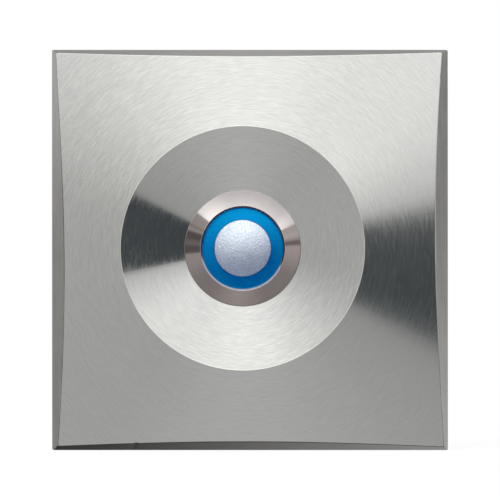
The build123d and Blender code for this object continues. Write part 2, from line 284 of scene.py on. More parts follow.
class Board:
    """A node tree that is wired up from Python expressions."""

    def __init__(self, tree, owner=None):
        self.tree = tree
        self.owner = owner
        tree.nodes.clear()

    def node(self, kind, settings=None, sockets=None, output=0):
        """Adds a node, sets its settings, then its sockets by name or number, and gives one output."""
        made = self.tree.nodes.new(kind)
        for key, value in (settings or {}).items():
            setattr(made, key, value)
        for key, value in (sockets or {}).items():
            if isinstance(value, Wire):
                self.tree.links.new(value.socket, made.inputs[key])
            else:
                made.inputs[key].default_value = value
        return Wire(self, made.outputs[output]) if made.outputs else made

    def math(self, operation, *values):
        return self.node("ShaderNodeMath", {"operation": operation}, dict(enumerate(values)))

    def smooth(self, value, low, high, start=0.0, end=1.0):
        """A soft step from start to end as value goes from low to high."""
        sockets = {"Value": value, "From Min": low, "From Max": high, "To Min": start, "To Max": end}
        return self.node("ShaderNodeMapRange", {"interpolation_type": "SMOOTHSTEP"}, sockets)

    def hump(self, value, middle, width):
        """1 at the middle, falling softly to 0 at width on both sides."""
        return self.smooth(self.math("ABSOLUTE", value - middle), 0.0, width, 1.0, 0.0)

    def window(self, value, low, high, soft):
        """1 between low and high, with soft edges."""
        rise = self.smooth(value, low - soft, low + soft)
        return rise * self.smooth(value, high - soft, high + soft, 1.0, 0.0)

    def place(self):
        """The object's own coordinates."""
        return self.node("ShaderNodeTexCoord", output="Object")

    def axes(self):
        """The object's own X, Y and Z."""
        split = self.node("ShaderNodeSeparateXYZ", None, {0: self.place()}).socket.node
        return [Wire(self, split.outputs[i]) for i in range(3)]

    def vector(self, x, y, z):
        return self.node("ShaderNodeCombineXYZ", None, {0: x, 1: y, 2: z})

    def reach(self, a, b):
        """How far the point at a and b is from 0."""
        return (a * a + b * b) ** 0.5

    def noise(self, vector, scale=1.0, detail=2.0, roughness=0.5):
        """Noise round 0, from about -0.5 to 0.5."""
        sockets = {"Vector": vector, "Scale": scale, "Detail": detail, "Roughness": roughness}
        return self.node("ShaderNodeTexNoise", None, sockets) - 0.5

    def speckle(self, scale, detail=2.0, roughness=0.5):
        """Noise that is alike in every direction."""
        return self.noise(self.place(), scale, detail, roughness)

    def blend(self, factor, first, second, kind="MIX"):
        """A mix of two colours."""
        settings = {"data_type": "RGBA", "blend_type": kind}
        return self.node("ShaderNodeMix", settings, {0: factor, 6: first, 7: second}, 2)

    def shade(self, colour, amount):
        """A colour made lighter or darker by a number round 1."""
        if not isinstance(amount, Wire):
            return rgba([channel * amount for channel in colour])
        factor = self.node("ShaderNodeCombineColor", None, {0: amount, 1: amount, 2: amount})
        return self.blend(1.0, rgba(colour), factor, "MULTIPLY")

    def finish(self, colour, tint, roughness, marks, depth, **others):
        """The material, from a colour, how its tone varies, its roughness, its marks and other sockets."""
        sockets = {key.replace("_", " ").title().replace("Ior", "IOR"): others[key] for key in others}
        bump = self.node("ShaderNodeBump", None, {"Height": marks, "Distance": depth, "Strength": 1.0})
        sockets |= {"Base Color": self.shade(colour, 1.0 + tint), "Roughness": roughness, "Normal": bump}
        shader = self.node("ShaderNodeBsdfPrincipled", None, sockets)
        self.node("ShaderNodeOutputMaterial", None, {"Surface": shader})
        return self.owner

    def glow(self, colour):
        """The material, where it only gives light."""
        light = self.node("ShaderNodeEmission", None, {"Color": colour, "Strength": 1.0})
        self.node("ShaderNodeOutputMaterial", None, {"Surface": light})
        return self.owner


def material(name):
    """The board of a new material."""
    made = bpy.data.materials.new(name)
    made.use_nodes = True
    return Board(made.node_tree, made)


def rgba(colour):
    return (*tuple(colour)[:3], 1.0)


def grey(level):
    return rgba((level, level, level))


def turned_steel(name, colour, pitch):
    """Steel turned round the Y axis: fine grooves inside the ridge, coarser arcs that cross outside it."""
    board = material(name)
    x, _, z = board.axes()
    radius = board.reach(x, z)
    aside = board.reach(x - 0.004, z + 0.003)  # from a second centre, so that arcs cross
    soft = 2e-4  # half the width of the border at the ridge
    outside = board.smooth(radius, block.ridge_radius - soft, block.ridge_radius + soft)
    fine = board.noise(board.vector(radius / pitch, x * 450.0, z * 450.0), 1.0, 1.0)
    arcs = board.noise(board.vector(radius / pitch, x * 520.0, z * 520.0), 0.8, 1.0)
    crossed = board.noise(board.vector(aside / pitch, x * 520.0, z * 520.0), 0.75, 1.0)
    rings = board.noise(board.vector(radius * 900.0, x * 20.0, z * 20.0), 1.0, 2.0)
    cloud = board.speckle(90.0, 3.0, 0.6)
    coarse = arcs + crossed * 0.5
    grain = fine * (0.8 - outside * 0.5) + coarse * (outside * 0.6)
    tint = grain * (0.34 - outside * 0.02) + rings * 0.03 + cloud * 0.06
    scratched = board.smooth(grain, -0.15, 0.3) * (0.06 - outside * 0.02)
    roughness = 0.075 + outside * 0.05 + scratched + cloud * 0.03
    return board.finish(colour, tint, roughness, fine + coarse * outside, depth=5e-7, metallic=1.0)


def turned_metal(name, colour, pitch, roughness=0.12, depth=1e-6, tone=0.12):
    """Metal finely turned round the Y axis."""
    board = material(name)
    x, y, z = board.axes()
    radius = board.reach(x, z)
    safe = board.math("MAXIMUM", radius, SMALL)
    across = radius / pitch + y / pitch
    groove = board.noise(board.vector(across, x / safe * 5.0, z / safe * 5.0), 1.0, 3.0, 0.6)
    tint = groove * (2 * tone) + board.speckle(200.0) * tone
    return board.finish(colour, tint, roughness + groove * 0.08, groove, depth, metallic=1.0)


def brushed_metal(name, colour, stretch, roughness=0.3, depth=4e-6, tone=0.12):
    """Metal brushed one way: stretch is how many lines there are to a metre of X, Y and Z."""
    board = material(name)
    x, y, z = board.axes()
    lines = board.noise(board.vector(x * stretch[0], y * stretch[1], z * stretch[2]), 1.0, 3.0, 0.6)
    tint = lines * (2 * tone) + board.speckle(140.0) * tone
    return board.finish(colour, tint, roughness + lines * 0.2, lines, depth, metallic=1.0)


def moulded(name, colour, roughness=0.5, grain=2500.0, depth=6e-6, tone=0.06):
    """A moulding with a fine spark-eroded skin."""
    board = material(name)
    skin = board.speckle(grain, 3.0, 0.6)
    tint = board.speckle(180.0) * (2 * tone) + skin * tone
    return board.finish(colour, tint, roughness + skin * 0.15, skin, depth)


def plated(name, colour, roughness=0.25, depth=3e-6, tone=0.08):
    """Small plated pieces: soft tool marks under a bright skin."""
    board = material(name)
    x, y, z = board.axes()
    marks = board.noise(board.vector(x * 500.0, y * 2500.0, z * 500.0), 1.0, 2.0)
    cloud = board.speckle(350.0, 3.0)
    roughness = roughness + cloud * 0.25 + marks * 0.1
    return board.finish(colour, cloud * (2 * tone), roughness, marks, depth, metallic=1.0)


# Meshes


def rounded(points, radii, steps=4):
    """An open section with its inner points rounded: radii has one value for each point, 0 for sharp.

    Every inner point gives steps + 1 points, so that sections of one kind always match row by row.
    """
    points = [np.array(p, float) for p in points]
    made = [points[0]]
    for before, here, after, radius in zip(points, points[1:], points[2:], radii[1:]):
        to_before, to_after = before - here, after - here
        long_before, long_after = np.linalg.norm(to_before), np.linalg.norm(to_after)
        to_before, to_after = to_before / long_before, to_after / long_after
        half = np.arccos(np.clip(to_before @ to_after, -1.0, 1.0)) / 2
        back = min(radius / tan(half), SHARE * long_before, SHARE * long_after) if half <= STRAIGHT else 0.0
        start, end = here + to_before * back, here + to_after * back
        for t in np.linspace(0.0, 1.0, steps + 1):
            made.append((1 - t) ** 2 * start + 2 * t * (1 - t) * here + t * t * end)
    return made + [points[-1]]


def rounded_loop(points, radii, steps=4):
    """A closed section or outline with its points rounded."""
    points, radii = list(points), list(radii)
    return rounded([points[-1], *points, points[0]], [0, *radii, 0], steps)[1:-1]


def new_piece(name, mesh):
    """Links a mesh as an object at the origin."""
    piece = bpy.data.objects.new(name, mesh)
    bpy.context.scene.collection.objects.link(piece)
    return piece


def settle(piece):
    """Applies a piece's modifiers, so that it is a plain mesh."""
    graph = bpy.context.evaluated_depsgraph_get()
    mesh = bpy.data.meshes.new_from_object(piece.evaluated_get(graph), depsgraph=graph)
    piece.modifiers.clear()
    old, piece.data = piece.data, mesh
    bpy.data.meshes.remove(old)
    mesh.name = piece.name
    return piece


def harden(piece):
    """Gives wide faces their own normals, so that only the rounded edges shade across."""
    piece.data.shade_smooth()
    piece.data.set_sharp_from_angle(angle=SHARP)
    piece.data.transform(Matrix.Scale(LARGE, 4))
    weighted = piece.modifiers.new("normals", "WEIGHTED_NORMAL")
    weighted.weight, weighted.thresh, weighted.keep_sharp = 100, 0.05, True
    settle(piece).data.transform(Matrix.Scale(1 / LARGE, 4))
    return piece


def cut(piece, *cutters):
    """Takes the cutters out of a piece. They are used up."""
    for cutter in cutters:
        modifier = piece.modifiers.new("cut", "BOOLEAN")
        modifier.operation, modifier.solver, modifier.object = "DIFFERENCE", "EXACT", cutter
    settle(piece)
    for cutter in cutters:
        bpy.data.meshes.remove(cutter.data)
    return piece


def shell(name, columns, closed, finishes=None):
    """A mesh from columns of points that run round an axis, row by row. Closed rows join end to start."""
    columns = np.array(columns)
    count, rows = columns.shape[:2]
    steps = rows if closed else rows - 1
    index = np.arange(count * rows).reshape(count, rows)
    there = np.roll(index, -1, axis=0)
    faces = [
        (index[i, j], index[i, (j + 1) % rows], there[i, (j + 1) % rows], there[i, j])
        for i in range(count)
        for j in range(steps)
    ]
    mesh = bpy.data.meshes.new(name)
    mesh.from_pydata(columns.reshape(-1, 3).tolist(), [], faces)
    if finishes:
        mesh.polygons.foreach_set("material_index", list(finishes) * count)
    tidy = bmesh.new()
    tidy.from_mesh(mesh)
    bmesh.ops.remove_doubles(tidy, verts=tidy.verts, dist=TINY / 10)
    bmesh.ops.dissolve_degenerate(tidy, edges=tidy.edges, dist=TINY / 10)
    bmesh.ops.recalc_face_normals(tidy, faces=tidy.faces)
    tidy.to_mesh(mesh)
    tidy.free()
    return mesh


def spun(name, section, closed, segments=192, x=0.0):
    """A section turned round the line through x along Y."""
    turns = np.linspace(0.0, 2 * pi, segments, endpoint=False)
    return shell(name, [[(x + r * cos(t), y, r * sin(t)) for r, y in section] for t in turns], closed)


def box_mesh(name, low, high):
    """A box between two corners."""
    made = bmesh.new()
    bmesh.ops.create_cube(made, size=1.0)
    for v in made.verts:
        v.co = [(a + b) / 2 + c * (b - a) for a, b, c in zip(low, high, v.co)]
    mesh = bpy.data.meshes.new(name)
    made.to_mesh(mesh)
    made.free()
    return mesh


def finished(piece, body, slot, *nodes):
    """Puts a finished piece on its body, in place of CAD nodes if it stands for any."""
    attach(piece, body)
    if nodes:
        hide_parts(*nodes)
    return piece


def dress(node, finish):
    """Gives a CAD node a finish."""
    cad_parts[node].material_slots[0].material = finish


# Geometry Nodes


class Growth(Board):
    """A Geometry Nodes group with named inputs, which grows plain meshes."""

    def __init__(self, name, **kinds):
        super().__init__(bpy.data.node_groups.new(name, "GeometryNodeTree"))
        interface = self.tree.interface
        interface.new_socket("Geometry", in_out="OUTPUT", socket_type="NodeSocketGeometry")
        self.names = {}
        for key, kind in kinds.items():
            made = interface.new_socket(key.title(), in_out="INPUT", socket_type=f"NodeSocket{kind}")
            self.names[key] = made.identifier
        entry = self.tree.nodes.new("NodeGroupInput")
        self.inputs = {key: Wire(self, socket) for key, socket in zip(kinds, entry.outputs)}

    def end(self, geometry):
        """Ends the group: instances made real, and the finish set."""
        real = self.node("GeometryNodeRealizeInstances", None, {0: geometry})
        sockets = {"Geometry": real, "Material": self.inputs["finish"]}
        self.node("NodeGroupOutput", None, {0: self.node("GeometryNodeSetMaterial", None, sockets)})

    def grow(self, name, **values):
        """A plain mesh object from the group with these inputs."""
        piece = new_piece(name, bpy.data.meshes.new(name))
        modifier = piece.modifiers.new("grow", "NODES")
        modifier.node_group = self.tree
        for key, value in values.items():
            modifier[self.names[key]] = value
        return settle(piece)


def helix_growth():
    """A wire with a flattened section, wound along Y and set out in a row along X."""
    sizes = ("radius", "start", "length", "pitch", "depth", "width", "spacing")
    growth = Growth("helix", **dict.fromkeys(sizes, "Float"), sides="Int", count="Int", finish="Material")
    given = growth.inputs
    turns = given["length"] / given["pitch"]
    winding = {"Resolution": 48, "Rotations": turns, "Height": given["length"]}
    winding |= {"Start Radius": given["radius"], "End Radius": given["radius"]}
    path = growth.node("GeometryNodeCurveSpiral", None, winding)
    path = growth.node("GeometryNodeSetCurveNormal", {"mode": "Z_UP"}, {"Curve": path})
    circle = {"Resolution": given["sides"], "Radius": 1.0}
    ring = growth.node("GeometryNodeCurvePrimitiveCircle", {"mode": "RADIUS"}, circle)
    size = growth.vector(given["depth"], given["width"], 1.0)
    ring = growth.node("GeometryNodeTransform", None, {"Geometry": ring, "Scale": size})
    swept = {"Curve": path, "Profile Curve": ring, "Fill Caps": True}
    wire = growth.node("GeometryNodeCurveToMesh", None, swept)
    place = growth.vector(0.0, given["start"], 0.0)
    lying = {"Geometry": wire, "Translation": place, "Rotation": (-pi / 2, 0.0, 0.0)}
    wire = growth.node("GeometryNodeTransform", None, lying)
    first = growth.vector(given["spacing"] * -0.5, 0.0, 0.0)
    step = growth.vector(given["spacing"], 0.0, 0.0)
    row = {"Count": given["count"], "Start Location": first, "Offset": step}
    row = growth.node("GeometryNodeMeshLine", {"mode": "OFFSET"}, row)
    growth.end(growth.node("GeometryNodeInstanceOnPoints", None, {"Points": row, "Instance": wire}))
    return growth


# Pieces


class DOORBELL_OT_steel_block(bpy.types.Operator):
    """Make the steel block with its turned face, brushed walls and milled back"""

    bl_idname = "doorbell.steel_block"
    bl_label = "Steel Block"

    # Knocks in the face's edge: where, in degrees, and how deep
    knocks = ((-118.7, 1.7e-4), (-40.8, 1.5e-4), (-37.0, 1.2e-4), (41.0, 1.2e-4))
    knock_width = 0.006  # in radians
    apart = 1e-4  # the least angle between two columns, in radians
    wall_row, face_row, seat_row = 4, 9, 24  # where the finish changes along a column

    def execute(self, context):
        settings = context.scene.doorbell_block
        outlines = (block.rim, block.base)
        angles = np.linspace(-pi, pi, settings.columns, endpoint=False)
        corners = [np.arctan2(p[:, 1], p[:, 0]) for p in outlines]
        angles = np.unique(np.concatenate([angles, *corners]))
        angles = angles[np.concatenate([[True], np.diff(angles) > self.apart])]
        rim, base = (self.reach(p, angles) for p in outlines)
        for where, depth in self.knocks:
            rim = rim - depth * np.exp(-(((angles - radians(where)) / self.knock_width) ** 2))
        columns = [self.column(*each, settings) for each in zip(angles, rim, base)]
        face, wall, back = 0, 1, 2
        rows = [back] * self.wall_row + [wall] * (self.face_row - self.wall_row)
        rows += [face] * (self.seat_row - self.face_row) + [back] * (len(columns[0]) - self.seat_row)
        piece = new_piece("steel_block", shell("steel_block", columns, True, rows))
        finishes = (
            turned_steel("turned_face", settings.steel, settings.groove_pitch),
            brushed_metal("brushed_walls", settings.steel, (60.0, 1500.0, 60.0), tone=0.24),
            brushed_metal("milled_back", settings.steel, (90.0, 90.0, 2600.0), roughness=0.35),
        )
        for finish in finishes:
            piece.data.materials.append(finish)
        harden(cut(piece, *[self.drill(side * stud_x, finishes) for side in (-1, 1)]))
        finished(piece, "plate", "turned_steel", "front_plate")
        return {"FINISHED"}

    @staticmethod
    def reach(outline, angles):
        """How far an outline is from the axis along each angle."""
        turn = np.arctan2(outline[:, 1], outline[:, 0])
        keep = np.concatenate([[True], np.diff(turn) > TINY])
        outline, turn = outline[keep], turn[keep]
        at = (np.searchsorted(turn, angles + TINY, side="right") - 1) % len(outline)
        start = outline[at, :2]
        side = np.roll(outline, -1, axis=0)[at, :2] - start
        across = np.cos(angles) * side[:, 1] - np.sin(angles) * side[:, 0]
        return (start[:, 0] * side[:, 1] - start[:, 1] * side[:, 0]) / across

    @staticmethod
    def column(angle, rim, base, settings):
        """One section of the block, from the recess round the wall and over the face back to the recess."""
        seat = bezel_radius + settings.bezel_fit
        section = [
            (block.recess_radius, 0.0),
            (base, 0.0),
            (rim, block.ridge + (rim - block.ridge_radius) * block.slope),
            (block.ridge_radius, block.ridge),
            (seat, block.ridge + (block.ridge_radius - seat) * block.dish_slope),
            (seat, block.seat),
            (block.hole, block.seat),
            (block.hole, block.recess_floor),
            (block.recess_radius, block.recess_floor),
        ]
        edge, ridge = settings.edge_round, settings.ridge_round
        points = rounded(section, [0, edge, edge, ridge, edge / 8, 0, 0, 0, 0])
        return [(r * cos(angle), y, r * sin(angle)) for r, y in points]

    @staticmethod
    def drill(x, finishes):
        """A cutter for the countersunk stud hole at x."""
        section = block.hole_section(x, 1.2 * stud_radius)
        wide, mouth = section[-1]
        over = 0.001  # how far the cutter stands out of the back
        section = [(0.0, section[0][1]), *section, (wide + over, mouth + over), (0.0, mouth + over)]
        drill = new_piece("drill", spun("drill", section, False, STUD_SEGMENTS, x))
        for finish in finishes:
            drill.data.materials.append(finish)
        for face in drill.data.polygons:
            face.material_index = len(finishes) - 1
        return drill


class DOORBELL_OT_bezel(bpy.types.Operator):
    """Make the bezel with its threaded barrel"""

    bl_idname = "doorbell.bezel"
    bl_label = "Bezel and Barrel"

    def execute(self, context):
        settings = context.scene.doorbell_switch
        finish = turned_metal("turned_nickel", settings.nickel, pitch=0.00012, roughness=0.08)
        section, _ = section_of("switch_housing")
        outer = next(i for i, (r, y) in enumerate(section) if r > bezel_radius - TINY)
        (lip, front), (further, lower), bore = section[0], section[outer], section[-1][0]
        wide = bore + settings.lip_width
        front = front + (wide - lip) * (lower - front) / (further - lip)
        cone_steps = 8
        along = np.linspace(0.0, 1.0, cone_steps, endpoint=False)
        bulge = 4 * along * (1 - along) * settings.bezel_crown
        cone = zip(wide + along * (further - wide), front + along * (lower - front) - bulge)
        section = [*cone, *section[outer:-1], (bore, front + settings.lip_fall)]
        barrel = max(r for r, y in section if y > 0)
        back = max(y for r, y in section)
        low, high = self.windows(back)
        depth, run_out = BARREL_THREAD * settings.barrel_pitch, settings.barrel_pitch / 2
        root, start, end = barrel - depth, nut_back - run_out, low[1] - 2 * run_out
        groove = [(barrel, start), (root, start + depth), (root, end - depth), (barrel, end)]
        at = next(i for i, (r, y) in enumerate(section) if abs(r - barrel) < TINY and y < start)
        section = section[: at + 1] + groove + section[at + 1 :]
        made = rounded_loop(section, [settings.edge_round] * len(section), 3)
        piece = new_piece("bezel", spun("bezel", made, True, 256))
        piece.data.materials.append(finish)
        harden(cut(piece, new_piece("windows", box_mesh("windows", low, high))))
        finished(piece, "plate", "nickel_bezel", "switch_housing")
        sizes = {"radius": root, "start": start + depth, "length": end - start - 2 * depth, "depth": depth}
        sizes |= {"pitch": settings.barrel_pitch, "width": run_out, "sides": 4, "count": 1, "spacing": 0.0}
        thread = helix_growth().grow("barrel_thread", finish=finish, **sizes)
        finished(thread, "plate", "nickel_bezel")
        return {"FINISHED"}

    @staticmethod
    def windows(back):
        """The two corners of the box that cuts the windows for the base's lugs."""
        first, last = 0.2 * back, 0.98 * back  # of the barrel's corners, only the windows' lie between these
        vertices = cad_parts["switch_housing"].data.vertices
        corners = [v.co for v in vertices if first < v.co.y < last]
        across, y = max(v.x for v in corners), [v.y for v in corners]
        return (-across, min(y), -back), (across, max(y), back)


class DOORBELL_OT_fixings(bpy.types.Operator):
    """Make the threaded studs, and finish the nut and the washer"""

    bl_idname = "doorbell.fixings"
    bl_label = "Fixings"

    def execute(self, context):
        settings = context.scene.doorbell_switch
        zinc = plated("zinc_plate", settings.zinc)
        dress("lock_washer", zinc)
        dress("hex_nut", plated("nickel_plate", settings.nickel, 0.2))
        pitch = settings.stud_pitch
        depth = STUD_THREAD * pitch
        root, tip, foot = stud_radius - depth, stud_high.y, stud_low.y
        shank = min(r for r, y in points_round("wall_studs", stud_x) if y < foot + SMALL)
        section = [
            (0.0, foot),
            (shank, foot),
            (shank, pitch / 2),
            (root, pitch),
            (root, tip - depth),
            (root - depth, tip),
            (0.0, tip),
        ]
        both = bmesh.new()
        for side in (-1, 1):
            core = spun("core", section, False, STUD_SEGMENTS, side * stud_x)
            both.from_mesh(core)
            bpy.data.meshes.remove(core)
        mesh = bpy.data.meshes.new("stud_cores")
        both.to_mesh(mesh)
        both.free()
        mesh.materials.append(zinc)
        piece = harden(new_piece("stud_cores", mesh))
        finished(piece, "plate", "plated_steel", "wall_studs")
        sizes = {"radius": root, "start": pitch, "length": tip - 2.5 * pitch, "depth": depth, "pitch": pitch}
        sizes |= {"width": pitch / 2, "sides": 4, "count": 2, "spacing": 2 * stud_x}
        thread = helix_growth().grow("stud_threads", finish=zinc, **sizes)
        finished(thread, "plate", "plated_steel")
        return {"FINISHED"}


class DOORBELL_OT_button(bpy.types.Operator):
    """Make the light ring and the domed cap"""

    bl_idname = "doorbell.button"
    bl_label = "Light Ring and Cap"

    def execute(self, context):
        settings = context.scene.doorbell_button
        lens = new_piece("lens_ring", self.lens_mesh(settings))
        lens.data.materials.append(self.lens_finish(settings))
        finished(harden(lens), "button", "blue_lens", "light_ring")
        cap = new_piece("silver_cap", spun("silver_cap", self.cap_section(settings), False))
        cap.data.materials.append(self.cap_finish(settings))
        cap.data.shade_smooth()
        cap.data.set_sharp_from_angle(angle=SHARP)
        finished(cap, "button", "silver_cap", "button_cap")
        return {"FINISHED"}

    @staticmethod
    def lens_mesh(settings):
        """The light ring, with its front edge brought close to the bore."""
        section, ring = section_of("light_ring")
        edge = max(r for r, y in section if y < block.seat)
        wide = points_round("switch_housing")[:, 0].min() - settings.lens_fit
        section = [(wide if r > edge - TINY and y < block.seat else r, y) for r, y in section]
        edge_round = 4e-5
        return spun("lens_ring", rounded_loop(section, [edge_round] * len(section), 3), ring)

    @staticmethod
    def cap_section(settings):
        """The cap's section, with its dome drawn finely and a crisp edge."""
        section, _ = section_of("button_cap")
        crown, edge = section[0][1], max(r for r, y in section)
        wall = next(i for i, (r, y) in enumerate(section) if r > edge - TINY)
        on_dome, drop = next((r, y - crown) for r, y in section if r > edge / 2)
        ball = (on_dome**2 + drop**2) / (2 * drop)
        dome_steps = 24
        dome = [(r, crown + ball - (ball**2 - r**2) ** 0.5) for r in np.linspace(0.0, edge, dome_steps)]
        radii = [0.0] * (len(dome) - 1) + [settings.cap_round] + [0.0] * len(section)
        return rounded(dome + section[wall + 1 :], radii)

    @staticmethod
    def lens_finish(settings):
        """Matt blue plastic with light inside it."""
        board = material("blue_lens")
        mottle = board.speckle(1800.0)
        return board.finish(
            settings.lens,
            tint=mottle * 0.3 + board.speckle(300.0) * 0.15,
            roughness=0.31 + mottle * 0.1,
            marks=mottle,
            depth=1e-5,
            metallic=0.7,
            specular_ior_level=0.02,
            emission_color=board.shade(settings.glow, 1.0 + mottle * 0.3),
            emission_strength=1.0,
        )

    @staticmethod
    def cap_finish(settings):
        """Silver lacquer: a fine flake under a skin like orange peel, with a faint painted blue glow."""
        board = material("silver_lacquer")
        peel = board.speckle(3000.0)
        return board.finish(
            settings.silver,
            tint=board.speckle(3200.0) * 0.7,
            roughness=0.32 + peel * 0.15,
            marks=peel,
            depth=4e-5,
            metallic=0.9,
            coat_weight=0.15,
            coat_roughness=0.35,
            # painted glow: faint blue light painted on the cap, which is no lamp
            emission_color=rgba(settings.cap_painted_glow),
            emission_strength=1.0,
        )


class DOORBELL_OT_spring(bpy.types.Operator):
    """Make the return spring"""

    bl_idname = "doorbell.spring"
    bl_label = "Return Spring"

    def execute(self, context):
        settings = context.scene.doorbell_button
        wire = settings.wire
        length = spring_high.y - spring_low.y - 2 * wire
        sizes = {"radius": spring_high.x - wire, "start": spring_low.y + wire, "length": length}
        sizes |= {"pitch": length / settings.turns, "depth": wire, "width": wire, "sides": 12}
        finish = plated("spring_wire", (0.5, 0.5, 0.5))
        coil = helix_growth().grow("spring_coil", finish=finish, count=1, spacing=0.0, **sizes)
        coil.data.shade_smooth()
        finished(coil, "plate", "spring_steel", "return_spring")
        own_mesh(coil)
        return {"FINISHED"}


class DOORBELL_OT_inner_pieces(bpy.types.Operator):
    """Finish the seals, the contacts, the light board and the base"""

    bl_idname = "doorbell.inner_pieces"
    bl_label = "Inner Pieces"

    def execute(self, context):
        rubber = moulded("black_rubber", (0.02, 0.02, 0.02), 0.7)
        white = moulded("white_moulding", (0.78, 0.78, 0.75), 0.45)
        silver = plated("contact_silver", (0.82, 0.81, 0.78), 0.2)
        tin = plated("tinned_brass", (0.70, 0.66, 0.56), 0.28)
        finishes = {
            "bezel_seal": rubber,
            "plunger_seal": rubber,
            "contact_carrier": white,
            "inner_frame": white,
            "contact_bridge": plated("contact_strip", (0.72, 0.45, 0.25), 0.3),
            "bridge_contacts": silver,
            "fixed_contacts": silver,
            "bridge_clip": plated("clip_steel", (0.5, 0.5, 0.5), 0.3),
            "led_board": moulded("circuit_board", (0.02, 0.16, 0.07), 0.35),
            "leds": moulded("led_resin", (0.85, 0.85, 0.75), 0.2),
            "series_resistor": moulded("resistor_chip", (0.03, 0.03, 0.03), 0.4),
            "terminal_base": moulded("black_moulding", (0.025, 0.025, 0.027), 0.45),
            "contact_terminal_left": tin,
            "contact_terminal_right": tin,
            "led_terminal_lower": tin,
            "led_terminal_upper": tin,
        }
        for node, finish in finishes.items():
            dress(node, finish)
        return {"FINISHED"}


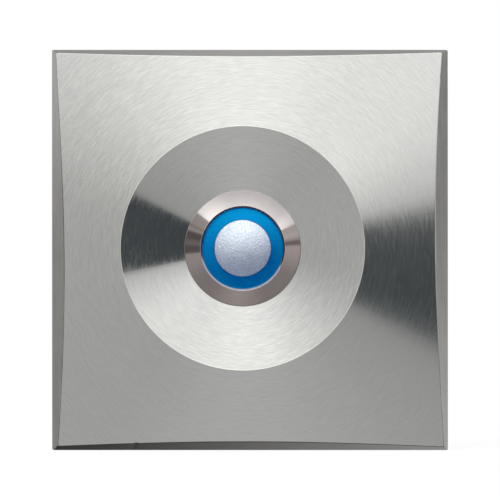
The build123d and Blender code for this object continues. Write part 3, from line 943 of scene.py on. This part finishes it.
class DOORBELL_OT_stage(bpy.types.Operator):
    """Set up the floor, the studio light and the camera"""

    bl_idname = "doorbell.stage"
    bl_label = "Stage"

    def execute(self, context):
        settings = context.scene.doorbell_stage
        context.scene.view_settings.view_transform = "Standard"
        self.world(context.scene)
        self.floor()
        self.screen()
        self.edge_cards()
        self.lamp(context.scene, "key", settings.key, settings.key_tilt)
        self.lamp(context.scene, "fill", settings.fill, settings.fill_tilt)
        self.camera(context.scene, settings)
        return {"FINISHED"}

    @staticmethod
    def white_rays(board):
        """1 for the rays that see the white ground: the camera's, mirrored and refracted ones."""
        rays = board.node("ShaderNodeLightPath").socket.node.outputs
        seen = Wire(board, rays["Is Camera Ray"])
        for name in ("Is Glossy Ray", "Is Transmission Ray"):
            seen = board.math("MAXIMUM", seen, Wire(board, rays[name]))
        return seen

    def world(self, scene):
        """White to the rays that see the ground, dim to the others."""
        scene.world = bpy.data.worlds.new("studio")
        scene.world.use_nodes = True
        board = Board(scene.world.node_tree)
        strength = board.smooth(self.white_rays(board), 0.0, 1.0, 0.05, 1.0)
        light = board.node("ShaderNodeBackground", None, {"Color": WHITE, "Strength": strength})
        board.node("ShaderNodeOutputWorld", None, {"Surface": light})

    def floor(self):
        """A pale floor under the block: white to the camera but for the block's own shade."""
        half, z = 3.0, cad_box[0][2]
        board = material("pale_floor")
        x, y, _ = board.axes()
        far = board.smooth(board.reach(x, y), 0.1, 0.4)
        pale = board.node("ShaderNodeBsdfDiffuse", None, {"Color": grey(0.86)})
        white = board.node("ShaderNodeEmission", None, {"Color": WHITE, "Strength": 1.0})
        factor = self.white_rays(board) * (0.95 + far * 0.05)
        both = board.node("ShaderNodeMixShader", None, {0: factor, 1: pale, 2: white})
        board.node("ShaderNodeOutputMaterial", None, {"Surface": both})
        corners = [(-half, -half, z), (half, -half, z), (half, half, z), (-half, half, z)]
        self.sheet("floor", corners, board.owner).visible_glossy = False

    @staticmethod
    def sheet(name, corners, finish):
        """A flat sheet with four corners that belongs to the stage."""
        mesh = bpy.data.meshes.new(name)
        mesh.from_pydata(corners, [], [(0, 1, 2, 3)])
        mesh.materials.append(finish)
        sheet = new_piece(name, mesh)
        return sheet

    def card(self, name, corners, finish):
        """A studio card that metal mirrors, that lights nothing else and that the camera doesn't see."""
        card = self.sheet(name, corners, finish)
        card.visible_camera = card.visible_shadow = card.visible_diffuse = False

    # The screen's parts: the radii, in metres, between which each one gives way to the next
    spot_edge, disc_edge, inner_edge = (0.08, 0.14), (0.46, 0.53), (0.95, 1.05)
    outer_edge, rim_edge = (1.7, 1.8), (2.3, 2.5)

    def screen(self):
        """A wide screen in front, lit in sectors: turned metal mirrors each sector as a wedge."""
        board = material("screen_light")
        x, _, z = board.axes()
        radius = board.reach(x, z)
        turn = board.math("ARCTAN2", z, x) * (180 / pi)
        left = board.math("ARCTAN2", z, x * -1.0) * (180 / pi)
        inner, outer = self.inner_light(board, turn, radius), self.outer_light(board, turn, left, radius)
        light = board.blend(board.smooth(radius, *self.inner_edge), inner, outer)
        light = board.blend(board.smooth(radius, *self.outer_edge), light, self.rim_light(board, turn))
        light = board.blend(board.smooth(radius, *self.rim_edge), light, grey(0.5))
        between = board.window(radius, 0.9, 1.17, 0.06)
        light = board.blend(between * board.window(turn, -165.0, -15.0, 8.0), light, grey(0.1))
        light = board.blend(between * board.window(turn, 50.0, 155.0, 8.0), light, grey(3.0))
        disc = self.disc_light(board, x, z)
        light = board.blend(board.smooth(radius, *self.disc_edge, 1.0, 0.0), light, disc)
        light = board.blend(board.smooth(radius, *self.spot_edge, 1.0, 0.0), light, grey(1.15))
        self.card("screen", self.upright(3.0, -1.2), board.glow(light))

    @staticmethod
    def upright(half, y):
        """The corners of an upright square that faces the front."""
        return [(-half, y, -half), (half, y, -half), (half, y, half), (-half, y, half)]

    @staticmethod
    def disc_light(board, x, z):
        """The part that the cap and the light ring mirror: dark below, bright above."""
        aside = board.smooth(board.math("ABSOLUTE", x), 0.42, 0.53, 1.0, 0.6)
        rise = board.smooth(z - x * 0.12, -0.22, 0.44) * aside
        low = board.blend(board.smooth(x, 0.0, 0.4), (0.05, 0.06, 0.085, 1.0), (0.12, 0.15, 0.2, 1.0))
        high = board.shade((3.3, 3.0, 2.6), board.smooth(z, 0.3, 0.5, 1.0, 1.75))
        return board.blend(rise, low, high)

    @staticmethod
    def inner_light(board, turn, radius):
        """The part that the block's face mirrors: bright above, with a dark flag on the right."""
        above = board.smooth(turn, -2.0, 42.0) * board.smooth(turn, 102.0, 172.0, 1.0, 0.0)
        level = 0.55 + above * 0.58 + board.hump(turn, 90.0, 35.0) * 0.14
        level = level + board.hump(turn, -90.0, 40.0) * 0.08 - board.hump(turn, -25.0, 40.0) * 0.09
        flag = board.shade((0.875, 1.0, 1.1), board.smooth(radius, 0.5, 0.62, 0.17, 0.078))
        return board.blend(board.window(turn, -26.5, 12.0, 1.2), board.shade((1.0, 1.0, 1.0), level), flag)

    @staticmethod
    def outer_light(board, turn, left, radius):
        """The part that the bezel mirrors: a bright sector above, warm grey below, and narrow dark gaps."""
        level = 0.275 + board.hump(turn, -95.0, 35.0) * 0.13 + board.hump(left, -12.0, 28.0) * 0.11
        level = level + board.hump(turn, 0.0, 35.0) * 0.18 + board.window(turn, 12.0, 27.0, 2.5) * 0.17
        level = level + board.window(left, 18.0, 40.0, 0.8) * 0.1
        gaps = board.window(left, -5.5, 18.6, 0.7) * (0.6 - board.hump(left, 6.5, 6.0) * 0.25)
        gaps = gaps + board.window(left, 22.6, 25.4, 0.7) * 0.3 + board.window(turn, 3.4, 8.8, 0.9) * 0.58
        gaps = gaps + board.window(left, -5.5, 3.3, 0.7) * 0.06
        low = board.shade((1.0, 0.92, 0.90), level * (1.0 - gaps))
        high = 0.9 + board.hump(turn, 30.0, 15.0) * 0.22 + board.smooth(turn, 100.0, 138.0) * 0.46
        high = board.shade((1.0, 1.0, 1.0), high * board.smooth(radius, 1.25, 1.6, 1.2, 0.8))
        return board.blend(board.window(turn, 25.0, 141.8, 0.8), low, high)

    @staticmethod
    def rim_light(board, turn):
        """The part that small rounded edges mirror: a cool light above, dark below."""
        above = board.window(turn, 15.0, 155.0, 6.0)
        return board.blend(above, (0.04, 0.045, 0.055, 1.0), (0.45, 0.53, 0.72, 1.0))

    def edge_cards(self):
        """Cards outside the picture for the block's edges and walls to mirror."""
        far, front, back, out, under = 0.5, -1.15, 0.3, 2.0, -0.3
        inner, outer = (self.upright(half, 0.1) for half in (0.065, far))
        cards = {
            "left": [outer[0], inner[0], inner[3], outer[3]],
            "right": [inner[1], outer[1], outer[2], inner[2]],
            "top": [inner[3], inner[2], outer[2], outer[3]],
            "bottom": [outer[0], outer[1], inner[1], inner[0]],
            "under": [(-far, -0.15, under), (far, -0.15, under), (far, 0.2, under), (-far, 0.2, under)],
            "dark_left": [(-out, front, -0.6), (-out, back, -0.6), (-out, back, 0.5), (-out, front, 0.5)],
            "dark_right": [(out, front, -1.0), (out, back, -1.0), (out, back, -0.2), (out, front, -0.2)],
            "above": [(-1.0, front, out), (1.0, front, out), (1.0, back, out), (-1.0, back, out)],
        }
        for side, corners in cards.items():
            board = material(f"card_{side}")
            light = board.shade((1.0, 0.98, 0.965), self.card_level(board, side))
            self.card(f"card_{side}", corners, board.glow(light))

    @staticmethod
    def card_level(board, side):
        """How bright a card is: graded on the four behind the block, even on the others."""
        even = {"above": 1.2, "under": 0.03, "dark_left": 0.03, "dark_right": 0.03}
        if side in even:
            return even[side]
        x, _, z = board.axes()
        if side == "top":
            return board.hump(x, 0.0, 0.04) * 0.11 + 0.36
        if side == "bottom":
            return board.smooth(x, -0.05, 0.085, 0.045, 0.46)
        if side == "left":
            return board.smooth(z, 0.0, 0.045, 0.31, 0.55)
        return board.smooth(z, -0.04, 0.0, 0.53, 0.3)

    @staticmethod
    def lamp(scene, name, power, tilt):
        """A soft lamp above, a little to the left, tilted off the view: it lights what isn't metal."""
        away, turn = 0.8, radians(107)
        light = bpy.data.lights.new(name, "AREA")
        light.size, light.energy = 0.3, power
        lamp = bpy.data.objects.new(name, light)
        lamp.location = Vector((sin(tilt) * cos(turn), -cos(tilt), sin(tilt) * sin(turn))) * away
        lamp.rotation_euler = (-lamp.location).to_track_quat("-Z", "Y").to_euler()
        lamp.visible_glossy = False
        scene.collection.objects.link(lamp)

    @staticmethod
    def camera(scene, settings):
        """The camera looks straight at the block's middle."""
        low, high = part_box("front_plate")
        lens = bpy.data.cameras.new("camera")
        lens.sensor_width = 36.0
        lens.lens = lens.sensor_width * settings.distance / settings.frame_width
        lens.clip_start, lens.clip_end = 0.01, 20.0
        camera = bpy.data.objects.new("camera", lens)
        camera.location = ((low.x + high.x) / 2, -settings.distance, (low.z + high.z) / 2)
        camera.rotation_euler = (pi / 2, 0, 0)
        scene.collection.objects.link(camera)
        scene.camera = camera


OPERATORS = (
    DOORBELL_OT_steel_block,
    DOORBELL_OT_bezel,
    DOORBELL_OT_fixings,
    DOORBELL_OT_button,
    DOORBELL_OT_spring,
    DOORBELL_OT_inner_pieces,
    DOORBELL_OT_stage,
)
SETTINGS = {
    "doorbell_block": BlockSettings,
    "doorbell_switch": SwitchSettings,
    "doorbell_button": ButtonSettings,
    "doorbell_stage": StageSettings,
}


class DOORBELL_PT_pieces(bpy.types.Panel):
    """The settings and the pieces"""

    bl_idname = "DOORBELL_PT_pieces"
    bl_label = "Doorbell Push Button"
    bl_space_type = "VIEW_3D"
    bl_region_type = "UI"
    bl_category = "Doorbell"

    def draw(self, context):
        for name, group in SETTINGS.items():
            box = self.layout.box()
            box.label(text=group.__doc__)
            for key in group.__annotations__:
                box.prop(getattr(context.scene, name), key)
        for operator in OPERATORS:
            self.layout.operator(operator.bl_idname)


CLASSES = (*SETTINGS.values(), *OPERATORS, DOORBELL_PT_pieces)


def register():
    for item in CLASSES:
        bpy.utils.register_class(item)
    for name, group in SETTINGS.items():
        setattr(bpy.types.Scene, name, PointerProperty(type=group))


def unregister():
    for name in SETTINGS:
        delattr(bpy.types.Scene, name)
    for item in reversed(CLASSES):
        bpy.utils.unregister_class(item)


def main():
    register()
    for operator in OPERATORS:
        getattr(bpy.ops.doorbell, operator.bl_idname.split(".")[1])()


if __name__ == "__main__":
    main()
